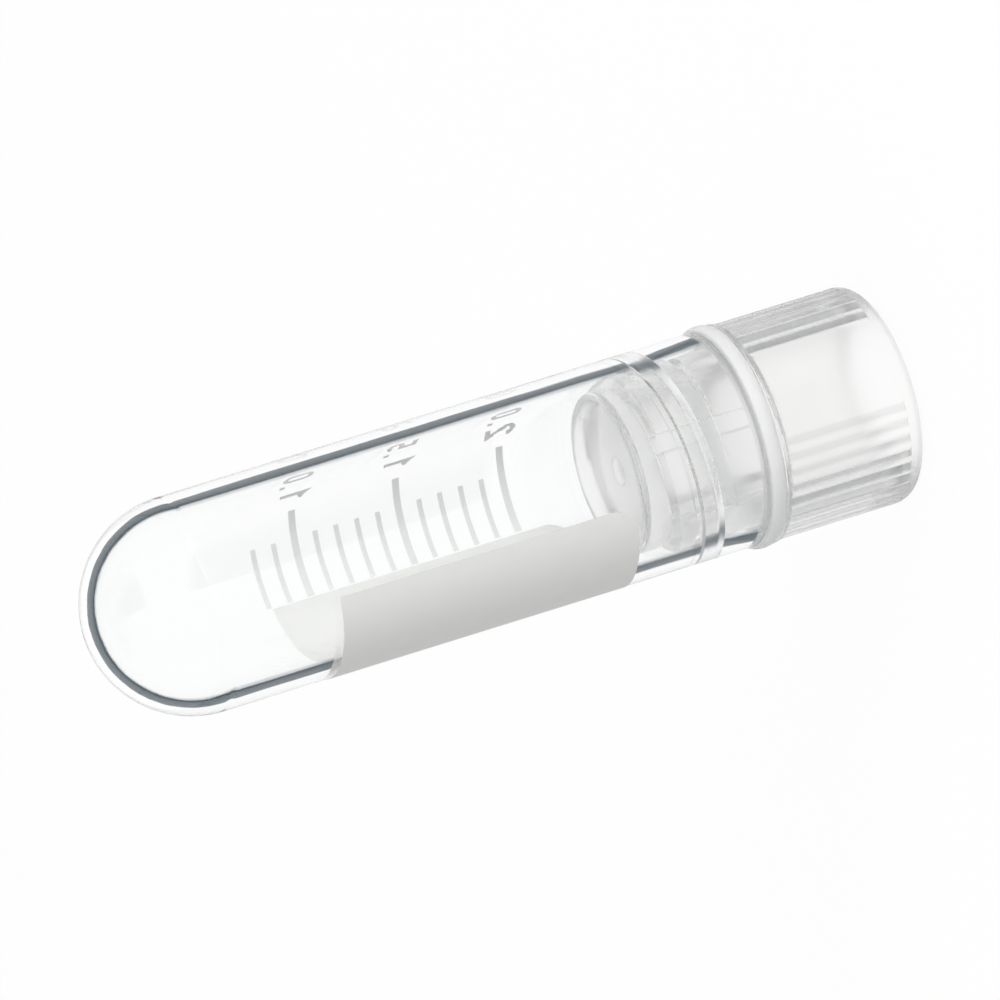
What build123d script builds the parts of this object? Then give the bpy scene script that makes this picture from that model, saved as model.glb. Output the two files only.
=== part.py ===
"""Cryogenic vial, internal thread: clear round-bottomed tube, screw cap, sealing ring and prints.

It stands on its cap. Z = 0 is the cap's flat outer end and +Z points along the axis to the tube's round end.
All lengths are in millimetres, and all angles are in degrees, counted about +Z from +X.
"""

from build123d import *

import os
from math import cos, degrees, radians, sin

# Tube
tube_radius = 6.25
tube_wall = 0.89
overall_length = 49.0
rim_edge_radius = 0.2

# Sealing ring
ring_rise = 0.25
ring_thickness = 0.9
ring_plug_clearance = 0.05
ring_bulge = 0.12

# Cap: sealing flange, just inside the ring's edge, and the grip below it
flange_inset = 0.05
flange_thickness = 0.6
flange_rise = 0.15
grip_length = 8.25
grip_corner_radius = 1.0
groove_depth = 0.15
groove_width = 0.62
groove_start = 1.05
groove_end = 8.55
groove_group_count = 3
groove_group_angle = 192.3
groove_group_arc = 66.4
grooves_per_group = 9

# Cap: hollow, open at the flat end
grip_wall = 1.7
recess_depth = 8.0
recess_edge_bevel = 0.25
core_wall = 1.05
drive_rib_count = 6
drive_rib_width = 0.95
drive_rib_height = 0.5
drive_rib_root = 0.5
drive_rib_angle = 282.0

# Cap: plug, with a close-fitting land behind its thread and a lip round its end
plug_reach = 7.3
land_clearance = 0.26
land_rim_distance = 0.1
land_length = 1.9
nose_depth = 0.7
nose_wall = 0.5
nose_edge_bevel = 0.15
web_thickness = 1.35

# Thread, right-handed, one start
thread_lead = 2.6
thread_clearance = 0.16
tube_ridge_height = 0.45
tube_ridge_base = 1.4
tube_ridge_crest = 0.8
tube_ridge_depth = 2.88
tube_ridge_angle = 150.0
tube_ridge_turns = 0.8
plug_ridge_base = 1.5
plug_ridge_crest = 0.9
plug_ridge_offset = 1.45
plug_ridge_angle = -232.0
plug_ridge_turns = 1.75
ridge_root = 0.3

# Prints
ink_thickness = 0.03
patch_angle = 107.2
patch_arc = 143.2
patch_rim_distance = 8.25
patch_length = 18.3
patch_corner_radius = 1.6
patch_corner_cut = 3.0
scale_patch_distance = 0.1
minor_tick_length = 3.9
major_tick_length = 5.85
minor_tick_width = 0.3
major_tick_width = 0.42
tick_step = 1.29
tick_count = 13
tick_rim_distance = 11.23
ticks_per_numeral = 5
numerals = ("2.0", "1.5", "1.0")
numeral_height = 1.9
numeral_width = 1.1
numeral_stroke = 0.32
numeral_spacing = 0.4
numeral_tick_distance = 0.9
five_bowl_start_angle = -150
five_bowl_sweep_angle = 240

# Radii that follow from the sizes above
bore_radius = tube_radius - tube_wall
ring_radius = tube_radius + ring_rise
flange_radius = ring_radius - flange_inset
grip_radius = flange_radius - flange_rise
recess_radius = grip_radius - grip_wall
plug_radius = bore_radius - tube_ridge_height - thread_clearance
land_radius = bore_radius - land_clearance
core_radius = plug_radius - core_wall
nose_bore_radius = plug_radius - nose_wall
ink_radius = tube_radius + ink_thickness

# Heights that follow from the sizes above
flange_height = grip_length + flange_thickness
rim_height = flange_height + ring_thickness
land_height = rim_height + land_rim_distance
dome_height = overall_length - tube_radius
nose_height = rim_height + plug_reach
web_height = nose_height - nose_depth
core_floor_height = web_height - web_thickness
tube_ridge_start = rim_height + tube_ridge_depth
plug_ridge_lag = thread_lead * (tube_ridge_angle - plug_ridge_angle) / 360
plug_ridge_start = tube_ridge_start + plug_ridge_offset - plug_ridge_lag


def arc_degrees(length):
    """Angle that a length takes up round the tube's outer surface."""
    return degrees(length / tube_radius)


def side_plane(angle):
    """Plane through the axis, with X pointing outwards at the angle and Y along the axis."""
    return Plane(origin=(0, 0, 0), x_dir=(cos(radians(angle)), sin(radians(angle)), 0),
                 z_dir=(sin(radians(angle)), -cos(radians(angle)), 0))


def reading_plane(angle, height):
    """Plane seen from outside the tube at the angle, with text upright when the cap is uppermost."""
    return Plane(origin=(0, 0, height), x_dir=(sin(radians(angle)), -cos(radians(angle)), 0),
                 z_dir=(cos(radians(angle)), sin(radians(angle)), 0))


def thread_ridge(root_radius, rise, root_width, crest_width, turns):
    """Trapezoid ridge swept up a helix and rooted in its wall. A negative rise stands inwards."""
    root = -ridge_root if rise > 0 else ridge_root
    with BuildPart() as ridge:
        with BuildLine() as helix:
            Helix(pitch=thread_lead, height=thread_lead * turns, radius=root_radius)
        with BuildSketch(Plane(origin=helix.line @ 0, x_dir=(1, 0, 0), z_dir=helix.line % 0)):
            with BuildLine():
                Polyline(
                    (root, -root_width / 2),
                    (0, -root_width / 2),
                    (rise, -crest_width / 2),
                    (rise, crest_width / 2),
                    (0, root_width / 2),
                    (root, root_width / 2),
                    close=True,
                )
            make_face()
        sweep(is_frenet=True)
    return ridge.part


def numeral_strokes(character, middle):
    """Draws one numeral of the scale, centred at the given place along the line, as strokes of one width."""
    side = (numeral_width - numeral_stroke) / 2
    top = (numeral_height - numeral_stroke) / 2
    bowl = top - side
    left, right = middle - side, middle + side
    with BuildLine() as strokes:
        if character == "0":
            CenterArc((middle, bowl), side, 0, 180)
            Line((left, bowl), (left, -bowl))
            CenterArc((middle, -bowl), side, 180, 180)
            Line((right, -bowl), (right, bowl))
        elif character == "1":
            Polyline((left, bowl), (middle, top), (middle, -top))
        elif character == "2":
            CenterArc((middle, bowl), side, 0, 180)
            Polyline((right, bowl), (left, -top), (right, -top))
        elif character == "5":
            Polyline((right, top), (left, top), (left, side - bowl), (middle, side - bowl))
            CenterArc((middle, -bowl), side, five_bowl_start_angle, five_bowl_sweep_angle)
    trace(strokes.line, line_width=numeral_stroke)


# --- Tube: straight wall, round end and a thread ridge inside the rim ---

with BuildPart() as tube:
    with BuildSketch(Plane.XZ):
        with BuildLine():
            Line((bore_radius, rim_height), (tube_radius, rim_height))
            Line((tube_radius, rim_height), (tube_radius, dome_height))
            CenterArc((0, dome_height), tube_radius, 0, 90)
            Line((0, overall_length), (0, overall_length - tube_wall))
            CenterArc((0, dome_height), bore_radius, 0, 90)
            Line((bore_radius, dome_height), (bore_radius, rim_height))
        make_face()
    revolve(axis=Axis.Z)
    fillet(tube.edges().filter_by(GeomType.CIRCLE).group_by(Axis.Z)[0], rim_edge_radius)
    with Locations(Location((0, 0, tube_ridge_start), (0, 0, tube_ridge_angle))):
        add(thread_ridge(bore_radius, -tube_ridge_height, tube_ridge_base, tube_ridge_crest, tube_ridge_turns))
tube.part.label = "tube"

# --- Screw cap: grip, flange, hollow plug and plug thread in one piece ---

with BuildPart() as screw_cap:
    with BuildSketch(Plane.XZ):
        with BuildLine():
            Polyline(
                (0, core_floor_height),
                (core_radius, core_floor_height),
                (core_radius, recess_depth),
                (recess_radius, recess_depth),
                (recess_radius, 0),
                (grip_radius, 0),
                (grip_radius, grip_length),
                (flange_radius, flange_height),
                (plug_radius, flange_height),
                (plug_radius, land_height),
                (land_radius, land_height),
                (land_radius, land_height + land_length),
                (plug_radius, land_height + land_length),
                (plug_radius, nose_height),
                (nose_bore_radius, nose_height),
                (nose_bore_radius, web_height),
                (0, web_height),
                close=True,
            )
        make_face()
    revolve(axis=Axis.Z)
    end_edges = screw_cap.edges().filter_by(GeomType.CIRCLE).group_by(Axis.Z)[0]
    fillet(end_edges.sort_by(SortBy.RADIUS)[-1], grip_corner_radius)
    chamfer(end_edges.sort_by(SortBy.RADIUS)[0], recess_edge_bevel)
    chamfer(screw_cap.edges().filter_by(GeomType.CIRCLE).group_by(Axis.Z)[-1], nose_edge_bevel)
    # Grip grooves, in groups with smooth faces between them
    with BuildSketch(Plane.XY.offset(groove_start)):
        with PolarLocations(0, groove_group_count, groove_group_angle):
            with PolarLocations(grip_radius - groove_depth, grooves_per_group, 0, groove_group_arc, endpoint=True):
                Polygon((0, 0), (2 * groove_depth, -groove_width), (2 * groove_depth, groove_width), align=None)
    extrude(amount=groove_end - groove_start, mode=Mode.SUBTRACT)
    # Drive ribs down the inside of the plug
    with BuildSketch(Plane.XY.offset(recess_depth)):
        with PolarLocations(core_radius - drive_rib_height, drive_rib_count, drive_rib_angle):
            Rectangle(drive_rib_height + drive_rib_root, drive_rib_width, align=(Align.MIN, Align.CENTER))
    extrude(amount=core_floor_height - recess_depth)
    plug_ridge_height = bore_radius - thread_clearance - plug_radius
    with Locations(Location((0, 0, plug_ridge_start), (0, 0, plug_ridge_angle))):
        add(thread_ridge(plug_radius, plug_ridge_height, plug_ridge_base, plug_ridge_crest, plug_ridge_turns))
screw_cap.part.label = "screw_cap"

# --- Sealing ring: flat washer round the plug, between the flange and the tube's rim ---

with BuildPart() as sealing_ring:
    with BuildSketch(Plane.XZ):
        with BuildLine():
            Polyline(
                (ring_radius - ring_bulge, rim_height),
                (plug_radius + ring_plug_clearance, rim_height),
                (plug_radius + ring_plug_clearance, flange_height),
                (ring_radius - ring_bulge, flange_height),
            )
            ThreePointArc(
                (ring_radius - ring_bulge, flange_height),
                (ring_radius, (flange_height + rim_height) / 2),
                (ring_radius - ring_bulge, rim_height),
            )
        make_face()
    revolve(axis=Axis.Z)
sealing_ring.part.label = "sealing_ring"

# --- Writing patch: field of ink with two rounded corners towards the cap ---

with BuildPart() as writing_patch:
    with BuildSketch(side_plane(patch_angle)):
        with Locations((tube_radius, rim_height + patch_rim_distance)):
            Rectangle(ink_thickness, patch_length, align=(Align.MIN, Align.MIN))
    revolve(axis=Axis.Z, revolution_arc=patch_arc)
    corner_arc = arc_degrees(patch_corner_radius)
    corner_height = rim_height + patch_rim_distance + patch_corner_radius
    for angle, side in (
        (patch_angle + corner_arc, Align.MIN),
        (patch_angle + patch_arc - corner_arc, Align.MAX),
    ):
        with BuildSketch(reading_plane(angle, corner_height)):
            Rectangle(patch_corner_cut, patch_corner_cut, align=(side, Align.MIN))
            Circle(patch_corner_radius, mode=Mode.SUBTRACT)
        extrude(amount=ink_radius, mode=Mode.SUBTRACT)
writing_patch.part.label = "writing_patch"

# --- Graduation marks: ticks that start beside the patch, every fifth one longer ---

scale_angle = patch_angle - arc_degrees(scale_patch_distance)
tick_heights = [rim_height + tick_rim_distance + tick * tick_step for tick in range(tick_count)]
major_heights = tick_heights[::ticks_per_numeral]
minor_heights = [height for height in tick_heights if height not in major_heights]

with BuildPart() as graduation_marks:
    for heights, length, width in (
        (minor_heights, minor_tick_length, minor_tick_width),
        (major_heights, major_tick_length, major_tick_width),
    ):
        with BuildSketch(side_plane(scale_angle - arc_degrees(length))):
            with Locations([(tube_radius, height) for height in heights]):
                Rectangle(ink_thickness, width, align=(Align.MIN, Align.CENTER))
        revolve(axis=Axis.Z, revolution_arc=arc_degrees(length))
graduation_marks.part.label = "graduation_marks"

# --- Graduation numerals: one number at the end of each long tick ---

point_middle = numeral_width + numeral_spacing + numeral_stroke / 2
label_width = 2 * point_middle
numeral_angle = scale_angle - arc_degrees(major_tick_length + numeral_tick_distance + label_width / 2)

with BuildPart() as graduation_numerals:
    for label, height in zip(numerals, major_heights):
        with BuildSketch(reading_plane(numeral_angle, height)):
            numeral_strokes(label[0], (numeral_width - label_width) / 2)
            numeral_strokes(label[-1], (label_width - numeral_width) / 2)
            with Locations((0, (numeral_stroke - numeral_height) / 2)):
                Rectangle(numeral_stroke, numeral_stroke)
        extrude(amount=ink_radius)
    with BuildSketch(Plane.XY.offset(rim_height)):
        Circle(ink_radius)
        Circle(tube_radius, mode=Mode.SUBTRACT)
    extrude(amount=overall_length - rim_height, mode=Mode.INTERSECT)
graduation_numerals.part.label = "graduation_numerals"

# --- Files ---

os.makedirs("parts", exist_ok=True)
export_step(tube.part, "parts/tube.step")
export_step(screw_cap.part, "parts/screw_cap.step")
export_step(sealing_ring.part, "parts/sealing_ring.step")
export_step(writing_patch.part, "parts/writing_patch.step")
export_step(graduation_marks.part, "parts/graduation_marks.step")
export_step(graduation_numerals.part, "parts/graduation_numerals.step")
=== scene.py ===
"""Cryogenic vial dressed for rendering: clear tube, milky screw cap, sealing ring and printed scale.

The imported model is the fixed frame. Its prints are shown as they are, and finer pieces of the same form
stand for the tube, the cap and the ring, whose smooth walls bend the light.
"""

from math import cos, pi, radians, sin, tau

import bmesh
import bpy
from bpy.props import FloatProperty, FloatVectorProperty, IntProperty, PointerProperty
from mathutils import Matrix, Vector


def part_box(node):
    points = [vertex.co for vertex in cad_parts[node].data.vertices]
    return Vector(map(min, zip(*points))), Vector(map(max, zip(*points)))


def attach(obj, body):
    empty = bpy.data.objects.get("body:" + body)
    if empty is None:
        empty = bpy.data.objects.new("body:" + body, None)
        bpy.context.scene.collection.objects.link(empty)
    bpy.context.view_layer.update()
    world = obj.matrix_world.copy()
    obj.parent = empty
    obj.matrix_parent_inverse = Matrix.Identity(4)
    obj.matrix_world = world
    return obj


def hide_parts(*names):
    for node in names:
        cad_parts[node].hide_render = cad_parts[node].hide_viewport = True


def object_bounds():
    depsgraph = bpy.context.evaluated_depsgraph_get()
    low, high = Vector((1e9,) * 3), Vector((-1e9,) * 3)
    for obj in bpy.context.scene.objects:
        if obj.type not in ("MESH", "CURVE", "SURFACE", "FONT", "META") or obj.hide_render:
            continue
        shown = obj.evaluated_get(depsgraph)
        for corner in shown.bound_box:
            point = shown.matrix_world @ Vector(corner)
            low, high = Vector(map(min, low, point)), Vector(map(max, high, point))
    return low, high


bl_info = {
    "name": "Cryogenic Vial",
    "version": (1, 0, 0),
    "blender": (4, 5, 0),
    "location": "3D View > Sidebar > Vial",
    "description": "Builds a clear screw-capped vial, its finishes and a plain studio",
    "category": "Add Mesh",
}

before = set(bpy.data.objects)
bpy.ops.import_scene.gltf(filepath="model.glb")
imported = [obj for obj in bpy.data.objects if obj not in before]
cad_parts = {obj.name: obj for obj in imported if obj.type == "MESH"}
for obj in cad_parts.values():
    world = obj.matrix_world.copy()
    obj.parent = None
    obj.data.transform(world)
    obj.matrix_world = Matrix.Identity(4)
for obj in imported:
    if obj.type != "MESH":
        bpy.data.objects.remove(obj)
cad_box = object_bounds()
tube_low, tube_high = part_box("tube")
cap_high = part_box("screw_cap")[1]
ring_low, ring_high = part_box("sealing_ring")

UP = (0, 0, 1)
MERGE_DISTANCE = 1e-7
SHARP_ANGLE = radians(32)


def length(name, description, default):
    """A size in metres that a user may change."""
    return FloatProperty(name=name, description=description, default=default, min=0, precision=5,
                         unit="LENGTH", subtype="DISTANCE")


def turn(name, description, default):
    """An angle that a user may change, given here in degrees."""
    return FloatProperty(name=name, description=description, default=radians(default), subtype="ANGLE")


def share(name, description, default):
    """A share from 0 to 1 that a user may change."""
    return FloatProperty(name=name, description=description, default=default, min=0, max=1,
                         subtype="FACTOR")


def amount(name, description, default, lowest=0):
    """A plain number that a user may change."""
    return FloatProperty(name=name, description=description, default=default, min=lowest)


def count(name, description, default, fewest):
    """A whole number that a user may change."""
    return IntProperty(name=name, description=description, default=default, min=fewest)


def colour(name, description, default):
    """A colour that a user may change."""
    return FloatVectorProperty(name=name, description=description, default=default, size=3, min=0, max=1,
                               subtype="COLOR")


# --- Sizes and finishes that a user may change ---


class VialTubeSizes(bpy.types.PropertyGroup):
    radius: length("Radius", "Outer radius of the tube", tube_high.x)
    wall: length("Wall", "Thickness of the tube's wall", 0.00089)
    rim_height: length("Rim height", "Height of the tube's rim", tube_low.z)
    end_height: length("End height", "Height of the tube's round end", tube_high.z)
    rim_rounding: length("Rim rounding", "Radius of the rim's edges", 0.0002)
    facets: count("Facets", "Facets round the tube", 256, 32)
    dome_facets: count("Dome facets", "Facets from the wall to the pole", 56, 8)


class VialThreadSizes(bpy.types.PropertyGroup):
    lead: length("Lead", "Rise of the thread in one turn", 0.0026)
    root: length("Root", "Depth to which a ridge reaches into its wall", 0.0003)
    tube_turns: amount("Tube turns", "Turns of the tube's ridge", 0.8, 0.1)
    tube_angle: turn("Tube angle", "Angle at which the tube's ridge starts", 150)
    tube_start: length("Tube start", "Distance from the rim to the start of the tube's ridge", 0.00288)
    tube_rise: length("Tube rise", "Height of the tube's ridge over its bore", 0.00045)
    tube_base: length("Tube base", "Width of the tube's ridge at its foot", 0.0014)
    tube_crest: length("Tube crest", "Width of the tube's ridge at its crest", 0.0008)
    plug_turns: amount("Plug turns", "Turns of the plug's ridge", 1.75, 0.1)
    plug_angle: turn("Plug angle", "Angle at which the plug's ridge starts", -232)
    plug_offset: length("Plug offset", "Distance of the plug's ridge beyond the tube's", 0.00145)
    plug_rise: length("Plug rise", "Height of the plug's ridge", 0.00045)
    plug_base: length("Plug base", "Width of the plug's ridge at its foot", 0.0015)
    plug_crest: length("Plug crest", "Width of the plug's ridge at its crest", 0.0009)
    facets: count("Facets", "Steps in each turn of a ridge", 240, 24)


class VialCapSizes(bpy.types.PropertyGroup):
    grip_radius: length("Grip radius", "Radius of the grip over its ribs", 0.0063)
    grip_length: length("Grip length", "Length of the grip", 0.00825)
    grip_rounding: length("Grip rounding", "Radius of the grip's outer corner", 0.001)
    flange_radius: length("Flange radius", "Radius of the flange", cap_high.x)
    recess_radius: length("Recess radius", "Radius of the hollow at the flat end", 0.0046)
    recess_depth: length("Recess depth", "Depth of the hollow at the flat end", 0.008)
    core_radius: length("Core radius", "Radius of the hollow inside the plug", 0.0037)
    core_height: length("Core height", "Height of the floor of the plug's hollow", 0.015)
    plug_radius: length("Plug radius", "Radius of the plug", 0.00475)
    land_radius: length("Land radius", "Radius of the plug's land, close to the tube's bore", 0.0051)
    land_height: length("Land height", "Height at which the land starts", 0.00985)
    land_length: length("Land length", "Length of the land", 0.0019)
    nose_wall: length("Nose wall", "Thickness of the lip round the plug's end", 0.0005)
    web_height: length("Web height", "Height of the face inside the lip", 0.01635)
    nose_rounding: length("Nose rounding", "Radius of the corner between the lip and the face", 0.0005)
    gate_radius: length("Gate radius", "Radius of the gate mark sunk in the face", 0.00075)
    gate_depth: length("Gate depth", "Depth of the gate mark", 0.0004)
    edge_rounding: length("Edge rounding", "Radius of the small edges", 0.00015)
    groove_depth: length("Groove depth", "Depth of a grip groove", 0.00015)
    groove_start: length("Groove start", "Height at which the grooves start", 0.00105)
    groove_end: length("Groove end", "Height at which the grooves end", 0.00855)
    groove_pitch: turn("Groove pitch", "Angle from one groove to the next", 8.3)
    groove_angle: turn("Groove angle", "Angle of the first groove of a group", 192.3)
    grooves: count("Grooves", "Grooves in a group", 9, 1)
    groove_groups: count("Groove groups", "Groups of grooves round the grip", 3, 2)
    groove_facets: count("Groove facets", "Facets across a groove", 18, 4)
    rib_width: length("Rib width", "Width of a drive rib", 0.00095)
    rib_rise: length("Rib rise", "Height of a drive rib over its wall", 0.0005)
    rib_angle: turn("Rib angle", "Angle of the first drive rib", 282)
    ribs: count("Ribs", "Drive ribs inside the plug", 6, 2)
    facets: count("Facets", "Facets round the cap", 264, 44)


class VialRingSizes(bpy.types.PropertyGroup):
    outer_radius: length("Outer radius", "Outer radius of the sealing ring", ring_high.x)
    inner_radius: length("Inner radius", "Inner radius of the sealing ring", 0.0048)
    bulge: length("Bulge", "Rise of the outer face between its edges", 0.00012)
    rounding: length("Rounding", "Radius of the ring's edges", 0.0001)
    gap: length("Gap", "Air left at the faces that press on the ring", 0.00001)
    facets: count("Facets", "Facets round the ring", 256, 32)


class VialFinish(bpy.types.PropertyGroup):
    clear_colour: colour("Clear plastic", "Tint of the tube", (0.995, 0.998, 0.998))
    milky_colour: colour("Milky plastic", "Colour of the cap", (0.995, 0.995, 0.99))
    ring_colour: colour("Silicone", "Colour of the sealing ring", (0.78, 0.785, 0.78))
    patch_colour: colour("Patch ink", "Colour of the writing patch beside the scale", (0.87, 0.86, 0.84))
    # Painted shade: the writing patch's -Y side takes this darker colour where less of the key lamp falls.
    patch_painted_shade: colour("Patch shade", "Colour of the writing patch at its other side", (0.56, 0.56, 0.55))
    scale_colour: colour("Scale ink", "Colour of the graduation", (0.85, 0.85, 0.84))
    clear_ior: amount("Clear refraction", "Refractive index of the tube", 1.49, 1)
    milky_ior: amount("Milky refraction", "Refractive index of the cap", 1.38, 1)


class VialStage(bpy.types.PropertyGroup):
    azimuth: turn("Azimuth", "Direction that the camera looks from", 0)
    elevation: turn("Elevation", "Height of the camera over the horizon", 20)
    roll: turn("Roll", "Turn of the camera about its own line of sight", -107.2)
    distance: length("Distance", "Distance from the camera to the vial", 1.86)
    aim_height: length("Aim height", "Height of the point on the axis that the camera looks at", 0.02336)
    aim_left: length("Aim left", "Distance of that point to the left of the view's middle", 0.000212)
    aim_up: length("Aim up", "Distance of that point under the view's middle", 0.000396)
    lens: amount("Lens", "Focal length in millimetres", 1200, 10)
    floor_colour: colour("Floor", "Colour of the floor", (0.75, 0.75, 0.75))
    floor_size: length("Floor size", "Side of the floor", 2.0)
    floor_glow: share("Floor glow", "Share of the backdrop in what the camera sees of the floor", 0.93)
    backdrop: amount("Backdrop", "Brightness of the backdrop", 1.0)
    panel: turn("Light panel", "Angle from the view's middle to the edge of the light panel", 28.5)
    panel_blur: turn("Panel blur", "Width of the light panel's soft edge", 2)
    flags: turn("Flags", "Angle from the view's middle to the far edge of the dark flags", 50)
    flag_blur: turn("Flag blur", "Width of the flags' soft far edge", 4)
    flag_colour: colour("Flag colour", "Colour of the dark flags round the light panel", (0.02, 0.05, 0.07))
    wall_tone: share("Wall tone", "Brightness of the studio's walls", 0.8)
    sky: amount("Sky", "Brightness of the studio's soft light", 0.9)
    key: amount("Key", "Power of the key lamp in watts", 4.2)
    key_size: length("Key size", "Side of the key lamp", 0.4)
    key_place: FloatVectorProperty(name="Key place", description="Place of the key lamp", size=3,
                                   default=(0.35, -0.53, 0.33), unit="LENGTH", subtype="TRANSLATION")


# --- Meshes ---


def outline(bm, corners, closed=False):
    """Joins (radius, height) corners by straight edges and returns the vertices."""
    line = [bm.verts.new((radius, 0, height)) for radius, height in corners]
    pairs = list(zip(line, line[1:]))
    if closed:
        pairs.append((line[-1], line[0]))
    for pair in pairs:
        bm.edges.new(pair)
    return line


def arc(bm, vertex, centre_height, angle, steps):
    """Carries an outline on from a vertex round an arc whose centre is on the axis."""
    bmesh.ops.spin(bm, geom=[vertex], cent=(0, 0, centre_height), axis=(0, 1, 0), angle=angle, steps=steps)


def round_corners(bm, corners, radius, segments=4):
    """Rounds corners of an outline."""
    bmesh.ops.bevel(bm, geom=corners, offset=radius, offset_type="OFFSET", segments=segments, profile=0.5,
                    affect="VERTICES", material=-1, clamp_overlap=True)


def revolve(bm, steps):
    """Spins the whole outline round the axis and closes its poles."""
    bmesh.ops.spin(bm, geom=bm.verts[:] + bm.edges[:], cent=(0, 0, 0), axis=UP, angle=tau, steps=steps,
                   use_merge=True)
    bmesh.ops.remove_doubles(bm, verts=bm.verts[:], dist=MERGE_DISTANCE)
    bmesh.ops.recalc_face_normals(bm, faces=bm.faces[:])


def repeat(bm, count, start_angle):
    """Sets copies of what is in the mesh evenly round the axis, the first one at the start angle."""
    bmesh.ops.rotate(bm, verts=bm.verts[:], cent=(0, 0, 0), matrix=Matrix.Rotation(start_angle, 3, "Z"))
    bmesh.ops.spin(bm, geom=bm.verts[:] + bm.edges[:] + bm.faces[:], cent=(0, 0, 0), axis=UP,
                   angle=tau * (count - 1) / count, steps=count - 1, use_duplicate=True)
    bmesh.ops.recalc_face_normals(bm, faces=bm.faces[:])


def new_piece(name, bm):
    """Makes an object of a finished mesh."""
    mesh = bpy.data.meshes.new(name)
    bm.to_mesh(mesh)
    bm.free()
    piece = bpy.data.objects.new(name, mesh)
    bpy.context.scene.collection.objects.link(piece)
    return piece


def combine(piece, tool, operation):
    """Joins a tool to a piece, or cuts it away, and removes the tool."""
    modifier = piece.modifiers.new(operation, "BOOLEAN")
    modifier.operation = operation
    modifier.solver = "EXACT"
    modifier.object = tool
    shape = bpy.data.meshes.new_from_object(piece.evaluated_get(bpy.context.evaluated_depsgraph_get()))
    piece.modifiers.clear()
    piece.data = shape
    bpy.data.objects.remove(tool)


def smooth(piece):
    """Shades a piece smooth and keeps its sharp edges."""
    bm = bmesh.new()
    bm.from_mesh(piece.data)
    bmesh.ops.remove_doubles(bm, verts=bm.verts[:], dist=MERGE_DISTANCE)
    for face in bm.faces:
        face.smooth = True
    for edge in bm.edges:
        edge.smooth = edge.calc_face_angle(0) < SHARP_ANGLE
    bm.to_mesh(piece.data)
    bm.free()
    weighted = piece.modifiers.new("weighted_normals", "WEIGHTED_NORMAL")
    weighted.mode = "FACE_AREA"
    weighted.weight = 100
    weighted.keep_sharp = True


def groove_group(name, sizes):
    """The room of a group of grooves. Round ribs stand between them and reach the grip's radius."""
    margin = sizes.groove_depth
    gap = sizes.groove_depth / 40
    crest = sizes.grip_radius + gap
    steps = sizes.grooves * sizes.groove_facets
    places = [step / sizes.groove_facets for step in range(steps + 1)]
    inner = [(place, crest - (sizes.groove_depth + gap) * (1 - abs(cos(pi * place)))) for place in places]
    outer = [(place, sizes.flange_radius + margin) for place in reversed(places)]
    bm = bmesh.new()
    corners = []
    for place, radius in inner + outer:
        angle = sizes.groove_angle + sizes.groove_pitch * (place - 0.5)
        corners.append(bm.verts.new((radius * cos(angle), radius * sin(angle), sizes.groove_start)))
    face = bm.faces.new(corners)
    grown = bmesh.ops.extrude_face_region(bm, geom=[face])["geom"]
    bmesh.ops.translate(bm, verts=[item for item in grown if isinstance(item, bmesh.types.BMVert)],
                        vec=(0, 0, sizes.groove_end - sizes.groove_start))
    repeat(bm, sizes.groove_groups, 0)
    return new_piece(name, bm)


def thread_ridge(name, thread, root_radius, rise, base, crest, turns, start_angle, start_height):
    """One start of the thread: a trapezoid carried up a helix. A negative rise stands inwards."""
    root = root_radius - (thread.root if rise > 0 else -thread.root)
    bm = bmesh.new()
    section = outline(bm, [
        (root, -base / 2),
        (root_radius, -base / 2),
        (root_radius + rise, -crest / 2),
        (root_radius + rise, crest / 2),
        (root_radius, base / 2),
        (root, base / 2),
    ], closed=True)
    face = bm.faces.new(section)
    bmesh.ops.translate(bm, verts=section, vec=(0, 0, start_height))
    bmesh.ops.rotate(bm, verts=section, cent=(0, 0, 0), matrix=Matrix.Rotation(start_angle, 3, "Z"))
    steps = round(thread.facets * turns)
    bmesh.ops.spin(bm, geom=[face], cent=(0, 0, 0), axis=UP, dvec=(0, 0, thread.lead * turns / steps),
                   angle=tau * turns, steps=steps)
    bmesh.ops.recalc_face_normals(bm, faces=bm.faces[:])
    return new_piece(name, bm)


# --- Materials ---

JUST_INSIDE = 0.995
JUST_OUTSIDE = 1.005


class Wire:
    """An output of a node, with the arithmetic that adds Math nodes."""

    def __init__(self, finish, socket):
        self.finish = finish
        self.socket = socket

    def math(self, operation, first, second):
        return self.finish.node("ShaderNodeMath", {"operation": operation}, {0: first, 1: second})

    def __add__(self, other):
        return self.math("ADD", self, other)

    def __radd__(self, other):
        return self.math("ADD", other, self)

    def __mul__(self, other):
        return self.math("MULTIPLY", self, other)

    def __rmul__(self, other):
        return self.math("MULTIPLY", other, self)

    def __gt__(self, other):
        return self.math("GREATER_THAN", self, other)

    def __lt__(self, other):
        return self.math("LESS_THAN", self, other)

    def either(self, other):
        return self.math("MAXIMUM", self, other)


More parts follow.
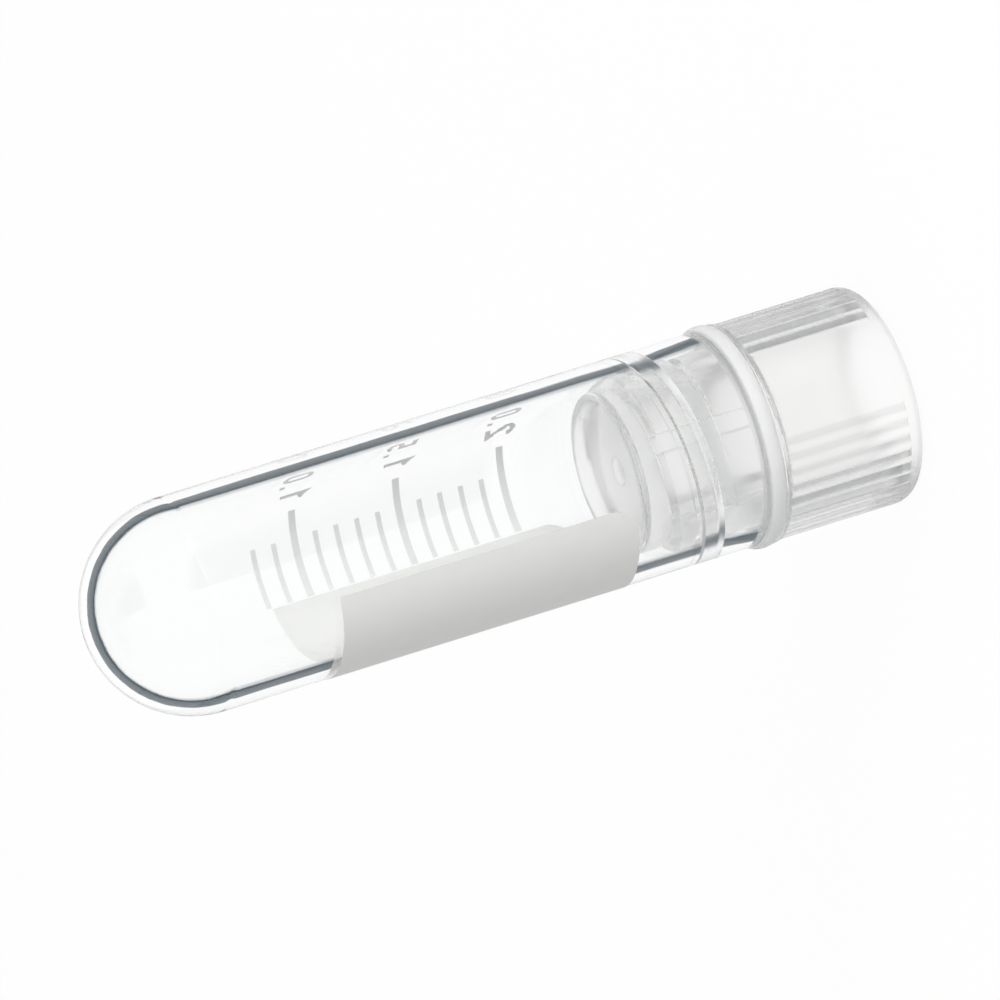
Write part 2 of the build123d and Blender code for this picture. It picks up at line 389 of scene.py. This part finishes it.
class Finish:
    """The node tree of one material or of the world."""

    def __init__(self, owner):
        owner.use_nodes = True
        self.owner = owner
        self.tree = owner.node_tree
        self.tree.nodes.clear()

    def node(self, kind, settings=None, values=None, output=0):
        """Adds a node with its settings and the values or links of its sockets, and returns one output."""
        made = self.tree.nodes.new(kind)
        for name, value in (settings or {}).items():
            if name == "stops":
                for stop, (place, shade) in zip(made.color_ramp.elements, value):
                    stop.position, stop.color = place, (shade, shade, shade, 1)
            else:
                setattr(made, name, value)
        for name, value in (values or {}).items():
            if isinstance(value, Wire):
                self.tree.links.new(value.socket, made.inputs[name])
            elif isinstance(made.inputs[name].default_value, float):
                made.inputs[name].default_value = value
            else:
                size = len(made.inputs[name].default_value)
                made.inputs[name].default_value = (*value, 1)[:size]
        return Wire(self, made.outputs[output])

    def path(self, output):
        """What kind of ray asks for the colour."""
        return self.node("ShaderNodeLightPath", output=output)

    def step(self, value, low, high):
        """A smooth step from 0 to 1."""
        return self.node("ShaderNodeMapRange", {"interpolation_type": "SMOOTHSTEP"},
                         {"Value": value, "From Min": low, "From Max": high})

    def place(self, scale=(1, 1, 1)):
        """Object coordinates, stretched by a scale."""
        spot = self.node("ShaderNodeTexCoord", output="Object")
        return self.node("ShaderNodeMapping", None, {"Vector": spot, "Scale": scale})

    def across(self):
        """Distance from the axis."""
        return self.node("ShaderNodeVectorMath", {"operation": "LENGTH"}, {0: self.place((1, 1, 0))},
                         output="Value")

    def along(self, axis):
        """Object coordinate on one axis."""
        return self.node("ShaderNodeSeparateXYZ", None, {0: self.place()}, output=axis)

    def noise(self, scale, detail, stretch=(1, 1, 1)):
        """Even noise whose scale is in features for each metre."""
        return self.node("ShaderNodeTexNoise", None,
                         {"Vector": self.place(stretch), "Scale": scale, "Detail": detail})

    def blend(self, mask, first, second):
        """Mixes two colours by a mask."""
        return self.node("ShaderNodeMix", {"data_type": "RGBA"}, {"Factor": mask, 6: first, 7: second},
                         output=2)

    def bump(self, height, depth):
        """A normal that follows a height from 0 to 1 over a depth in metres."""
        return self.node("ShaderNodeBump", None, {"Height": height, "Distance": depth, "Strength": 1.0})

    def surface(self, shader):
        """Ends the tree in its output."""
        in_world = isinstance(self.owner, bpy.types.World)
        end = self.tree.nodes.new("ShaderNodeOutputWorld" if in_world else "ShaderNodeOutputMaterial")
        self.tree.links.new(shader.socket, end.inputs["Surface"])

    def lets_light_through(self, shader, tint):
        """Swaps the shader for a see-through one where lamps look for shadows."""
        clear = self.node("ShaderNodeBsdfTransparent", None, {"Color": tint})
        return self.node("ShaderNodeMixShader", None, {0: self.path("Is Shadow Ray"), 1: shader, 2: clear})


def darker(tint, share_left):
    """A tint with a share of its brightness left."""
    return [share_left * part for part in tint]


def paint(piece, finish):
    """Gives a piece one material."""
    piece.data.materials.clear()
    piece.data.materials.append(finish.owner)


def clear_plastic(name, tint, ior, bore, rim_height, thread_height):
    """Clear moulded plastic: glossy, with faint flow lines, scuffs, a matte rim and a satin thread."""
    finish = Finish(bpy.data.materials.new(name))
    flow = finish.noise(900, 2.0, (1, 1, 0.12))
    scuffs = finish.noise(5200, 4.0)
    marks = finish.node("ShaderNodeValToRGB", {"stops": ((0.55, 0), (0.75, 1))}, {"Fac": scuffs})
    height = finish.along("Z")
    below = finish.step(height, 1.02 * thread_height, 0.98 * thread_height)
    thread = (JUST_INSIDE * bore > finish.across()) * below
    rim = finish.step(height, rim_height + 0.0004, rim_height + 0.0002)
    body = finish.node("ShaderNodeBsdfPrincipled", None, {
        "Base Color": tint,
        "Roughness": 0.015 + 0.05 * marks + (0.14 * thread).either(0.5 * rim),
        "IOR": ior,
        "Transmission Weight": 1.0,
        "Normal": finish.bump(flow, 0.000004),
    })
    finish.surface(finish.lets_light_through(body, (0.93, 0.94, 0.94)))
    return finish


def milky_plastic(name, tint, ior, sizes):
    """Natural polypropylene: see-through, hazy and grained, with painted shade that darkens its grooves and
    gate mark.
    """
    finish = Finish(bpy.data.materials.new(name))
    haze = finish.noise(700, 3.0)
    grain = finish.noise(9000, 2.0)
    across = finish.across()
    height = finish.along("Z")
    crest = sizes.grip_radius
    floor = sizes.grip_radius - sizes.groove_depth
    # Painted shade in the recesses: masks of the groove valleys and of the sunk gate mark.
    groove = finish.step(across, crest, (crest + floor) / 2)
    groove = groove * (across > 0.99 * floor) * (height > sizes.groove_start)
    gate = (1.2 * sizes.gate_radius > across) * (height > sizes.web_height - 1.2 * sizes.gate_depth)
    inside = JUST_OUTSIDE * sizes.recess_radius > across
    cloud = finish.blend(haze, tint, darker(tint, 0.96))
    body = finish.node("ShaderNodeBsdfPrincipled", None, {
        # Painted shade: the groove valleys and the gate mark take 0.8 of the tint.
        "Base Color": finish.blend(groove.either(gate), cloud, darker(tint, 0.8)),
        "Roughness": 0.2 + 0.06 * haze + 0.16 * inside,
        "IOR": ior,
        "Transmission Weight": 0.985,
        "Normal": finish.bump(grain, 0.000004),
    })
    finish.surface(finish.lets_light_through(body, (0.86, 0.87, 0.87)))
    return finish


def silicone(name, tint):
    """Translucent silicone: satin and cloudy."""
    finish = Finish(bpy.data.materials.new(name))
    cloud = finish.noise(1500, 3.0)
    body = finish.node("ShaderNodeBsdfPrincipled", None, {
        "Base Color": finish.blend(cloud, tint, darker(tint, 0.97)),
        "Roughness": 0.6 + 0.1 * cloud,
        "IOR": 1.42,
        "Transmission Weight": 0.5,
        "Normal": finish.bump(cloud, 0.000006),
    })
    finish.surface(finish.lets_light_through(body, (0.6, 0.6, 0.6)))
    return finish


def ink(name, tint, shade, coverage):
    """Screen-printed ink: matte and grained, with an uneven coat, and with painted shade that turns it to
    the shade colour on its -Y side.
    """
    finish = Finish(bpy.data.materials.new(name))
    grain = finish.noise(14000, 2.0)
    coat = finish.noise(900, 3.0)
    # Painted shade: the ink goes from its tint on the +Y side to the shade colour on the -Y side.
    side = finish.step(finish.along("Y"), 0.001, -0.001)
    full = finish.blend(side, tint, shade)
    thin = finish.blend(side, darker(tint, coverage), darker(shade, coverage))
    body = finish.node("ShaderNodeBsdfPrincipled", None, {
        "Base Color": finish.blend(coat, full, thin),
        "Roughness": 0.55 + 0.15 * grain,
        "Normal": finish.bump(grain, 0.000003),
    })
    finish.surface(body)
    return finish


# --- Pieces ---


class VIAL_OT_tube(bpy.types.Operator):
    """Builds the clear tube with its thread and dresses it"""

    bl_idname = "vial.tube"
    bl_label = "Tube"

    def execute(self, context):
        sizes, thread, look = context.scene.vial_tube, context.scene.vial_thread, context.scene.vial_finish
        bore = sizes.radius - sizes.wall
        dome = sizes.end_height - sizes.radius
        bm = bmesh.new()
        line = outline(bm, [
            (sizes.radius, dome),
            (sizes.radius, sizes.rim_height),
            (bore, sizes.rim_height),
            (bore, dome),
        ])
        arc(bm, line[0], dome, -pi / 2, sizes.dome_facets)
        arc(bm, line[3], dome, -pi / 2, sizes.dome_facets)
        round_corners(bm, line[1:3], sizes.rim_rounding)
        revolve(bm, sizes.facets)
        tube = new_piece("clear_tube", bm)
        start = sizes.rim_height + thread.tube_start
        ridge = thread_ridge("tube_thread", thread, bore, -thread.tube_rise, thread.tube_base,
                             thread.tube_crest, thread.tube_turns, thread.tube_angle, start)
        combine(tube, ridge, "UNION")
        smooth(tube)

        middle = start + (thread.lead * thread.tube_turns + thread.tube_base) / 2
        paint(tube, clear_plastic("clear_plastic", look.clear_colour, look.clear_ior, bore,
                                  sizes.rim_height, middle))
        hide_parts("tube")
        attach(tube, "tube")
        return {"FINISHED"}


class VIAL_OT_cap(bpy.types.Operator):
    """Builds the screw cap with its grip, plug, ribs and thread and dresses it"""

    bl_idname = "vial.cap"
    bl_label = "Screw cap"

    def execute(self, context):
        sizes, thread, look = context.scene.vial_cap, context.scene.vial_thread, context.scene.vial_finish
        bm = bmesh.new()
        line = outline(bm, [
            (0, sizes.core_height),
            (sizes.core_radius, sizes.core_height),
            (sizes.core_radius, sizes.recess_depth),
            (sizes.recess_radius, sizes.recess_depth),
            (sizes.recess_radius, 0),
            (sizes.grip_radius, 0),
            (sizes.grip_radius, sizes.grip_length),
            (sizes.flange_radius, ring_low.z),
            (sizes.plug_radius, ring_low.z),
            (sizes.plug_radius, sizes.land_height),
            (sizes.land_radius, sizes.land_height),
            (sizes.land_radius, sizes.land_height + sizes.land_length),
            (sizes.plug_radius, sizes.land_height + sizes.land_length),
            (sizes.plug_radius, cap_high.z),
            (sizes.plug_radius - sizes.nose_wall, cap_high.z),
            (sizes.plug_radius - sizes.nose_wall, sizes.web_height),
            (sizes.gate_radius, sizes.web_height),
            (sizes.gate_radius, sizes.web_height - sizes.gate_depth),
            (0, sizes.web_height - sizes.gate_depth),
        ])
        round_corners(bm, [line[5]], sizes.grip_rounding, 12)
        round_corners(bm, [line[15]], sizes.nose_rounding, 6)
        small = [line[place] for place in (1, 2, 3, 4, 7, 13, 14, 16, 17)]
        round_corners(bm, small, sizes.edge_rounding, 3)
        revolve(bm, sizes.facets)
        cap = new_piece("milky_cap", bm)

        bm = bmesh.new()
        bmesh.ops.create_cube(bm, size=1)
        bmesh.ops.scale(bm, verts=bm.verts[:],
                        vec=(2 * sizes.rib_rise, sizes.rib_width, sizes.core_height - sizes.recess_depth))
        bmesh.ops.translate(bm, verts=bm.verts[:],
                            vec=(sizes.core_radius, 0, (sizes.core_height + sizes.recess_depth) / 2))
        repeat(bm, sizes.ribs, sizes.rib_angle)
        combine(cap, new_piece("drive_ribs", bm), "UNION")

        lag = thread.lead * (thread.tube_angle - thread.plug_angle) / tau
        start = tube_low.z + thread.tube_start + thread.plug_offset - lag
        ridge = thread_ridge("plug_thread", thread, sizes.plug_radius, thread.plug_rise, thread.plug_base,
                             thread.plug_crest, thread.plug_turns, thread.plug_angle, start)
        combine(cap, ridge, "UNION")
        combine(cap, groove_group("grip_grooves", sizes), "DIFFERENCE")
        smooth(cap)

        paint(cap, milky_plastic("milky_plastic", look.milky_colour, look.milky_ior, sizes))
        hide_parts("screw_cap")
        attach(cap, "cap")
        return {"FINISHED"}


class VIAL_OT_ring(bpy.types.Operator):
    """Builds the sealing ring and dresses it"""

    bl_idname = "vial.ring"
    bl_label = "Sealing ring"

    def execute(self, context):
        sizes, look = context.scene.vial_ring, context.scene.vial_finish
        low, high = ring_low.z + sizes.gap, ring_high.z - sizes.gap
        edge = sizes.outer_radius - sizes.bulge
        apex = edge + 1.7 * sizes.bulge  # its rounding takes it down to the outer radius
        bm = bmesh.new()
        line = outline(bm, [
            (sizes.inner_radius, low),
            (edge, low),
            (apex, (low + high) / 2),
            (edge, high),
            (sizes.inner_radius, high),
        ], closed=True)
        round_corners(bm, [line[2]], 0.4 * (high - low), 8)
        round_corners(bm, [line[0], line[1], line[3], line[4]], sizes.rounding)
        revolve(bm, sizes.facets)
        ring = new_piece("silicone_ring", bm)
        smooth(ring)
        paint(ring, silicone("silicone", look.ring_colour))
        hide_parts("sealing_ring")
        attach(ring, "ring")
        return {"FINISHED"}


class VIAL_OT_prints(bpy.types.Operator):
    """Gives the printed patch and scale their inks"""

    bl_idname = "vial.prints"
    bl_label = "Prints"

    def execute(self, context):
        look = context.scene.vial_finish
        # The patch ink carries painted shade on its -Y side; the scale ink has one colour on both sides.
        patch_ink = ink("patch_ink_coat", look.patch_colour, look.patch_painted_shade, 0.96)
        scale_ink = ink("scale_ink_coat", look.scale_colour, look.scale_colour, 0.94)
        paint(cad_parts["writing_patch"], patch_ink)
        paint(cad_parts["graduation_marks"], scale_ink)
        paint(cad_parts["graduation_numerals"], scale_ink)
        return {"FINISHED"}


# --- Stage ---


def add_lamp(name, place, target, size, power):
    """Adds a square soft lamp that faces a target."""
    lamp = bpy.data.lights.new(name, "AREA")
    lamp.shape = "SQUARE"
    lamp.size = size
    lamp.energy = power
    holder = bpy.data.objects.new(name, lamp)
    holder.location = place
    holder.visible_glossy = False
    holder.visible_transmission = False
    holder.rotation_euler = (Vector(target) - Vector(place)).to_track_quat("-Z", "Y").to_euler()
    bpy.context.scene.collection.objects.link(holder)


class VIAL_OT_stage(bpy.types.Operator):
    """Builds the floor, the soft studio light and the camera"""

    bl_idname = "vial.stage"
    bl_label = "Studio"

    def execute(self, context):
        scene, stage = context.scene, context.scene.vial_stage
        scene.view_settings.view_transform = "Standard"
        scene.cycles.max_bounces = 32
        scene.cycles.transmission_bounces = 24
        scene.cycles.glossy_bounces = 12
        scene.cycles.transparent_max_bounces = 16
        scene.cycles.diffuse_bounces = 12

        middle = Vector((0, 0, (cad_box[0].z + cad_box[1].z) / 2))
        add_lamp("key_lamp", stage.key_place, middle, stage.key_size, stage.key)

        level = cos(stage.elevation)
        back = Vector((sin(stage.azimuth) * level, -cos(stage.azimuth) * level, sin(stage.elevation)))
        world = bpy.data.worlds.new("studio")
        scene.world = world
        finish = Finish(world)
        seen = finish.path("Is Camera Ray").either(finish.path("Is Glossy Ray"))
        seen = seen.either(finish.path("Is Transmission Ray"))
        spot = finish.node("ShaderNodeTexCoord", output="Generated")
        facing = finish.node("ShaderNodeVectorMath", {"operation": "DOT_PRODUCT"}, {0: spot, 1: -back},
                             output="Value")
        panel = finish.step(facing, cos(stage.panel + stage.panel_blur), cos(stage.panel))
        beyond = finish.step(facing, cos(stage.flags + stage.flag_blur), cos(stage.flags))
        inner = finish.path("Glossy Depth") > 0.5
        inner = inner * finish.path("Is Transmission Ray") * (0.5 > finish.path("Diffuse Depth"))
        inner = inner * (2.5 > finish.path("Transmission Depth"))
        walls = finish.blend(beyond, [stage.wall_tone] * 3, stage.flag_colour)
        walls = finish.blend(panel, walls, [stage.backdrop] * 3)
        dark = finish.blend(inner, [stage.backdrop] * 3, walls)
        light = finish.node("ShaderNodeBackground", None, {"Color": (1, 1, 1), "Strength": stage.sky})
        white = finish.node("ShaderNodeBackground", None, {"Color": dark, "Strength": 1.0})
        finish.surface(finish.node("ShaderNodeMixShader", None, {0: seen, 1: light, 2: white}))

        bm = bmesh.new()
        bmesh.ops.create_grid(bm, x_segments=1, y_segments=1, size=stage.floor_size / 2)
        floor = new_piece("floor", bm)
        floor.visible_transmission = False
        finish = Finish(bpy.data.materials.new("floor_paint"))
        glow = stage.floor_glow * finish.path("Is Camera Ray")
        lit = finish.node("ShaderNodeBsdfDiffuse", None, {"Color": stage.floor_colour})
        white = finish.node("ShaderNodeEmission", None, {"Color": (1, 1, 1), "Strength": stage.backdrop})
        finish.surface(finish.node("ShaderNodeMixShader", None, {0: glow, 1: lit, 2: white}))
        paint(floor, finish)

        camera = bpy.data.cameras.new("camera")
        camera.lens = stage.lens
        camera.sensor_width = 36
        camera.clip_start = 0.01
        camera.clip_end = 10
        holder = bpy.data.objects.new("camera", camera)
        scene.collection.objects.link(holder)
        scene.camera = holder
        turned = (-back).to_track_quat("-Z", "Y").to_matrix() @ Matrix.Rotation(stage.roll, 3, "Z")
        aim = Vector((0, 0, stage.aim_height)) - turned @ Vector((stage.aim_left, -stage.aim_up, 0))
        holder.matrix_world = Matrix.Translation(aim + back * stage.distance) @ turned.to_4x4()
        return {"FINISHED"}


class VIAL_PT_panel(bpy.types.Panel):
    """Lists the pieces of the vial in the sidebar"""

    bl_idname = "VIAL_PT_panel"
    bl_label = "Cryogenic Vial"
    bl_space_type = "VIEW_3D"
    bl_region_type = "UI"
    bl_category = "Vial"

    def draw(self, context):
        for operator in OPERATORS:
            self.layout.operator(operator.bl_idname)


OPERATORS = (VIAL_OT_tube, VIAL_OT_cap, VIAL_OT_ring, VIAL_OT_prints, VIAL_OT_stage)
GROUPS = {
    "vial_tube": VialTubeSizes,
    "vial_thread": VialThreadSizes,
    "vial_cap": VialCapSizes,
    "vial_ring": VialRingSizes,
    "vial_finish": VialFinish,
    "vial_stage": VialStage,
}


def register():
    """Makes the sizes, the operators and the panel known to Blender."""
    for name, group in GROUPS.items():
        bpy.utils.register_class(group)
        setattr(bpy.types.Scene, name, PointerProperty(type=group))
    for item in (*OPERATORS, VIAL_PT_panel):
        bpy.utils.register_class(item)


def unregister():
    """Takes the sizes, the operators and the panel away again."""
    for item in reversed((*OPERATORS, VIAL_PT_panel)):
        bpy.utils.unregister_class(item)
    for name, group in GROUPS.items():
        delattr(bpy.types.Scene, name)
        bpy.utils.unregister_class(group)


def main():
    """Builds the whole scene."""
    register()
    bpy.ops.vial.tube()
    bpy.ops.vial.cap()
    bpy.ops.vial.ring()
    bpy.ops.vial.prints()
    bpy.ops.vial.stage()


if __name__ == "__main__":
    main()
